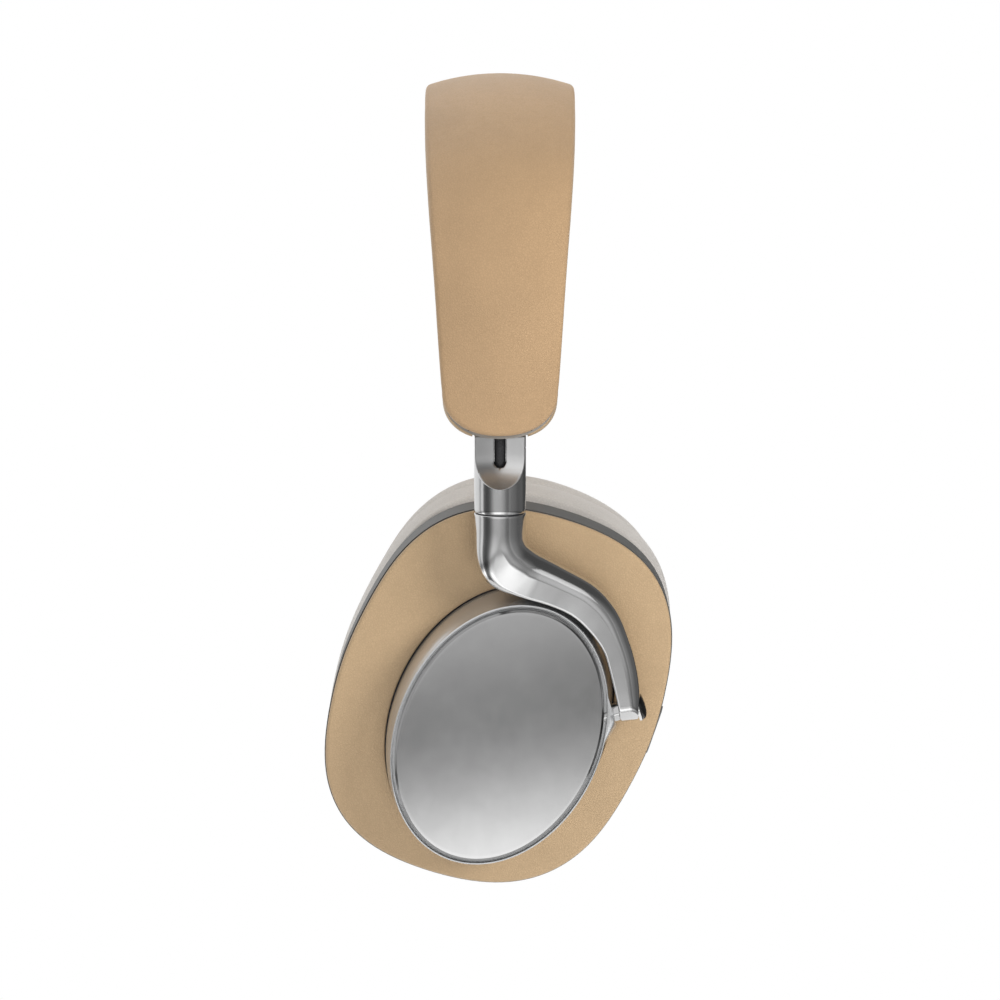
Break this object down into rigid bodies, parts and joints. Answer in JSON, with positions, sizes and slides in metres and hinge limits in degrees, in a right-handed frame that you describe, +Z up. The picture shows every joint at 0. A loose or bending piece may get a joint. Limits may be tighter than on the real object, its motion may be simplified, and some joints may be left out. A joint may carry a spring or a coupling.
{
  "type": "over-ear headphones",
  "caption": "Over-ear headphones with a leather-covered headband, sliding aluminium arms, swivelling one-sided yokes and tilting padded ear cups.",
  "frame": {"origin": "centre of the headband's crown line at its inner, head side region, 14 mm below the top of the band", "axes": "+Z up through the crown, +X towards the wearer's left ear, +Y to the back of the wearer's head"},
  "size_m": [0.1674, 0.0901, 0.2111],
  "materials": {
    "band_leather": "fine-grained tan leather",
    "face_leather": "fine-grained tan leather",
    "cushion_leather": "soft warm light grey leather",
    "spring_steel": "bare spring steel",
    "black_cable": "braided",
    "light_trim": "satin light grey",
    "black_plastic": "moulded",
    "screw_steel": "blackened steel",
    "arm_aluminium": "satin die-cast",
    "pin_steel": "polished",
    "gloss_black": "gloss black",
    "polished_metal": "polished",
    "disc_aluminium": "brushed with a polished chamfer",
    "grey_housing": "satin metallic grey",
    "driver_body": "moulded basket and pulp cone",
    "grille_fabric": "acoustic scrim",
    "battery_wrap": "foil pouch",
    "circuit_board": "solder mask",
    "grey_button": "satin metallic grey"
  },
  "bodies": {
    "headband": {"headband_outer_cover": "band_leather", "headband_spring_strip": "spring_steel", "headband_inner_pad": "band_leather", "headband_link_cable": "black_cable", "band_end_trim_left": "light_trim", "slider_guide_left": "black_plastic", "guide_screws_left": "screw_steel", "band_end_trim_right": "light_trim", "slider_guide_right": "black_plastic", "guide_screws_right": "screw_steel"},
    "slider_left": {"slider_arm_left": "arm_aluminium", "arm_cable_left": "black_cable", "swivel_pin_left": "pin_steel", "swivel_washer_left": "black_plastic"},
    "yoke_left": {"yoke_arm_left": "arm_aluminium", "pivot_pin_left": "pin_steel", "pivot_cap_left": "gloss_black"},
    "cup_left": {"face_cover_left": "face_leather", "pod_bezel_left": "polished_metal", "disc_plate_left": "disc_aluminium", "cup_housing_left": "grey_housing", "driver_baffle_left": "black_plastic", "baffle_screws_left": "screw_steel", "driver_left": "driver_body", "driver_grille_left": "grille_fabric", "cushion_plate_left": "black_plastic", "ear_cushion_left": "cushion_leather", "battery": "battery_wrap", "control_board_left": "circuit_board"},
    "slider_right": {"slider_arm_right": "arm_aluminium", "arm_cable_right": "black_cable", "swivel_pin_right": "pin_steel", "swivel_washer_right": "black_plastic"},
    "yoke_right": {"yoke_arm_right": "arm_aluminium", "pivot_pin_right": "pin_steel", "pivot_cap_right": "gloss_black"},
    "cup_right": {"face_cover_right": "face_leather", "pod_bezel_right": "polished_metal", "disc_plate_right": "disc_aluminium", "cup_housing_right": "grey_housing", "driver_baffle_right": "black_plastic", "baffle_screws_right": "screw_steel", "driver_right": "driver_body", "driver_grille_right": "grille_fabric", "cushion_plate_right": "black_plastic", "ear_cushion_right": "cushion_leather", "main_board": "circuit_board", "usb_c_socket": "pin_steel", "control_board_right": "circuit_board"},
    "quick_action_button": {"quick_action_button": "grey_button"},
    "volume_up_button": {"volume_up_button": "grey_button"},
    "multifunction_button": {"multifunction_button": "grey_button"},
    "volume_down_button": {"volume_down_button": "grey_button"},
    "power_switch": {"power_switch": "grey_button"}
  },
  "joints": [
    {"name": "arm_slide_left", "type": "slide", "parent": "headband", "child": "slider_left", "axis": [-0.1132, 0, -0.9936], "range_m": [0, 0.022]},
    {"name": "cup_swivel_left", "type": "hinge", "parent": "slider_left", "child": "yoke_left", "pos_m": [0.07056, 0, -0.10117], "axis": [-0.1132, 0, -0.9936], "range_deg": [-10, 90]},
    {"name": "cup_tilt_left", "type": "hinge", "parent": "yoke_left", "child": "cup_left", "pos_m": [0.06379, 0.02955, -0.15173], "axis": [-0.0312, -0.9613, -0.2739], "range_deg": [0, 14]},
    {"name": "arm_slide_right", "type": "slide", "parent": "headband", "child": "slider_right", "axis": [0.1132, 0, -0.9936], "range_m": [0, 0.022]},
    {"name": "cup_swivel_right", "type": "hinge", "parent": "slider_right", "child": "yoke_right", "pos_m": [-0.07056, 0, -0.10117], "axis": [-0.1132, 0, 0.9936], "range_deg": [-10, 90]},
    {"name": "cup_tilt_right", "type": "hinge", "parent": "yoke_right", "child": "cup_right", "pos_m": [-0.06379, 0.02955, -0.15173], "axis": [-0.0312, 0.9613, 0.2739], "range_deg": [0, 14]},
    {"name": "quick_action_button_press", "type": "slide", "parent": "cup_left", "child": "quick_action_button", "axis": [0.0367, -0.9461, 0.3219], "range_m": [0, 0.0005], "stiffness_N_per_m": 900, "springref_m": -0.0012},
    {"name": "volume_up_button_press", "type": "slide", "parent": "cup_right", "child": "volume_up_button", "axis": [-0.0034, -0.9995, 0.0302], "range_m": [0, 0.0006], "stiffness_N_per_m": 900, "springref_m": -0.0012},
    {"name": "multifunction_button_press", "type": "slide", "parent": "cup_right", "child": "multifunction_button", "axis": [-0.0212, -0.9823, 0.186], "range_m": [0, 0.0006], "stiffness_N_per_m": 900, "springref_m": -0.0012},
    {"name": "volume_down_button_press", "type": "slide", "parent": "cup_right", "child": "volume_down_button", "axis": [-0.0326, -0.9575, 0.2865], "range_m": [0, 0.0006], "stiffness_N_per_m": 900, "springref_m": -0.0012},
    {"name": "power_slide", "type": "slide", "parent": "cup_right", "child": "power_switch", "axis": [-0.1025, 0.4247, 0.8995], "range_m": [0, 0.002]}
  ]
}
